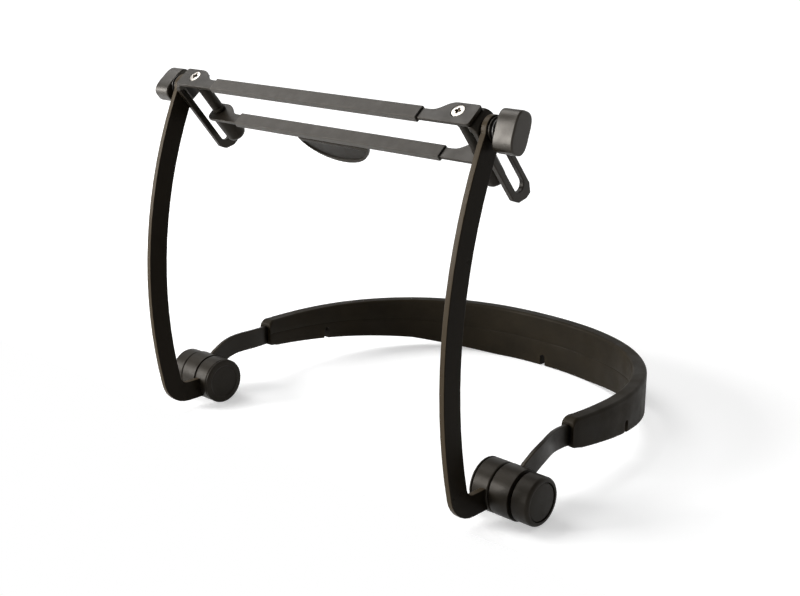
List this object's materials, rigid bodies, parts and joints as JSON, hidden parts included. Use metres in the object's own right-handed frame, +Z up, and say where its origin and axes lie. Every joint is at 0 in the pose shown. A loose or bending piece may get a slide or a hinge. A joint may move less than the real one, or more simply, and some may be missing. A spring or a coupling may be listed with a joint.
{
  "type": "harmonica_holder",
  "caption": "Black neck-worn harmonica holder: rubber-sleeved neck band, curved swinging side arms and a tilting, sprung two-bar clamp",
  "frame": {"origin": "on the surface that the holder stands on, under the middle of its outline", "axes": "+X across the wearer, along the hub axis, +Y from the clamp to the back of the neck, +Z up"},
  "size_m": [0.2678, 0.2294, 0.1964],
  "materials": {
    "black_lacquer": "satin",
    "black_plastic": "satin",
    "neck_rubber": "matte",
    "bar_rubber": "matte",
    "black_steel": "satin",
    "bright_steel": "polished",
    "brass": "satin"
  },
  "bodies": {
    "band": {"neck_strip": "black_lacquer", "neck_sleeve": "neck_rubber", "band_hub_right": "black_plastic", "band_hub_left": "black_plastic", "pivot_bolt_right": "black_steel", "pivot_bolt_left": "black_steel", "lock_washer_right": "black_steel", "lock_washer_left": "black_steel"},
    "lock_knob_right_body": {"lock_knob_right": "black_plastic", "lock_knob_cap_right": "black_plastic", "lock_knob_insert_right": "brass"},
    "lock_knob_left_body": {"lock_knob_left": "black_plastic", "lock_knob_cap_left": "black_plastic", "lock_knob_insert_left": "brass"},
    "arm_right_body": {"arm_right": "black_lacquer", "arm_hub_right": "black_plastic", "hub_cap_right": "black_plastic", "friction_ring_right": "black_plastic"},
    "arm_left_body": {"arm_left": "black_lacquer", "arm_hub_left": "black_plastic", "hub_cap_left": "black_plastic", "friction_ring_left": "black_plastic"},
    "stud_right_body": {"tilt_stud_right": "black_steel", "clamp_disc_right": "black_plastic", "ribbed_washer_right": "black_steel", "lock_ring_right": "black_steel"},
    "stud_left_body": {"tilt_stud_left": "black_steel", "clamp_disc_left": "black_plastic", "ribbed_washer_left": "black_steel", "lock_ring_left": "black_steel"},
    "tilt_knob_right_body": {"tilt_knob_right": "black_plastic", "tilt_knob_insert_right": "brass"},
    "tilt_knob_left_body": {"tilt_knob_left": "black_plastic", "tilt_knob_insert_left": "brass"},
    "cradle": {"upper_bar": "black_lacquer", "upper_bar_sleeve": "bar_rubber", "slot_link_right": "black_lacquer", "slot_link_left": "black_lacquer", "clamp_screw_right": "bright_steel", "clamp_screw_left": "bright_steel", "guide_post_right": "black_plastic", "guide_post_left": "black_plastic", "stop_nut_right": "bright_steel", "stop_nut_left": "bright_steel", "clamp_spring_right": "bright_steel", "clamp_spring_left": "bright_steel"},
    "clamp": {"lower_bar": "black_lacquer", "lower_bar_sleeve": "bar_rubber", "thumb_tab": "black_plastic", "spring_cup_right": "black_plastic", "spring_cup_left": "black_plastic"}
  },
  "joints": [
    {"name": "swing_right", "type": "hinge", "parent": "band", "child": "arm_right_body", "pos_m": [0.11, -0.07185, 0.0129], "axis": [1, 0, 0], "range_deg": [-70, 90]},
    {"name": "swing_left", "type": "hinge", "parent": "band", "child": "arm_left_body", "pos_m": [-0.11, -0.07185, 0.0129], "axis": [1, 0, 0], "range_deg": [-70, 90]},
    {"name": "tilt_right", "type": "hinge", "parent": "arm_right_body", "child": "stud_right_body", "pos_m": [0.108, -0.08265, 0.1861], "axis": [1, 0, 0], "continuous": true},
    {"name": "tilt_left", "type": "hinge", "parent": "arm_left_body", "child": "stud_left_body", "pos_m": [-0.108, -0.08265, 0.1861], "axis": [1, 0, 0], "continuous": true},
    {"name": "cradle_slide", "type": "slide", "parent": "stud_right_body", "child": "cradle", "axis": [0, -0.6225, 0.7826], "range_m": [0, 0.0345]},
    {"name": "clamp_slide", "type": "slide", "parent": "cradle", "child": "clamp", "axis": [0, 0.6225, -0.7826], "range_m": [0, 0.0075], "stiffness_N_per_m": 1200, "springref_m": -0.008, "deforming": ["clamp_spring_right", "clamp_spring_left"]},
    {"name": "lock_knob_right_turn", "type": "hinge", "parent": "band", "child": "lock_knob_right_body", "pos_m": [0.129, -0.07185, 0.0129], "axis": [1, 0, 0], "continuous": true},
    {"name": "lock_knob_left_turn", "type": "hinge", "parent": "band", "child": "lock_knob_left_body", "pos_m": [-0.129, -0.07185, 0.0129], "axis": [1, 0, 0], "continuous": true},
    {"name": "tilt_knob_right_turn", "type": "hinge", "parent": "stud_right_body", "child": "tilt_knob_right_body", "pos_m": [0.1195, -0.08265, 0.1861], "axis": [1, 0, 0], "continuous": true},
    {"name": "tilt_knob_left_turn", "type": "hinge", "parent": "stud_left_body", "child": "tilt_knob_left_body", "pos_m": [-0.1195, -0.08265, 0.1861], "axis": [1, 0, 0], "continuous": true}
  ],
  "couplings": [
    {"joint": "swing_left", "follows": "swing_right", "ratio": 1},
    {"joint": "tilt_left", "follows": "tilt_right", "ratio": 1}
  ]
}
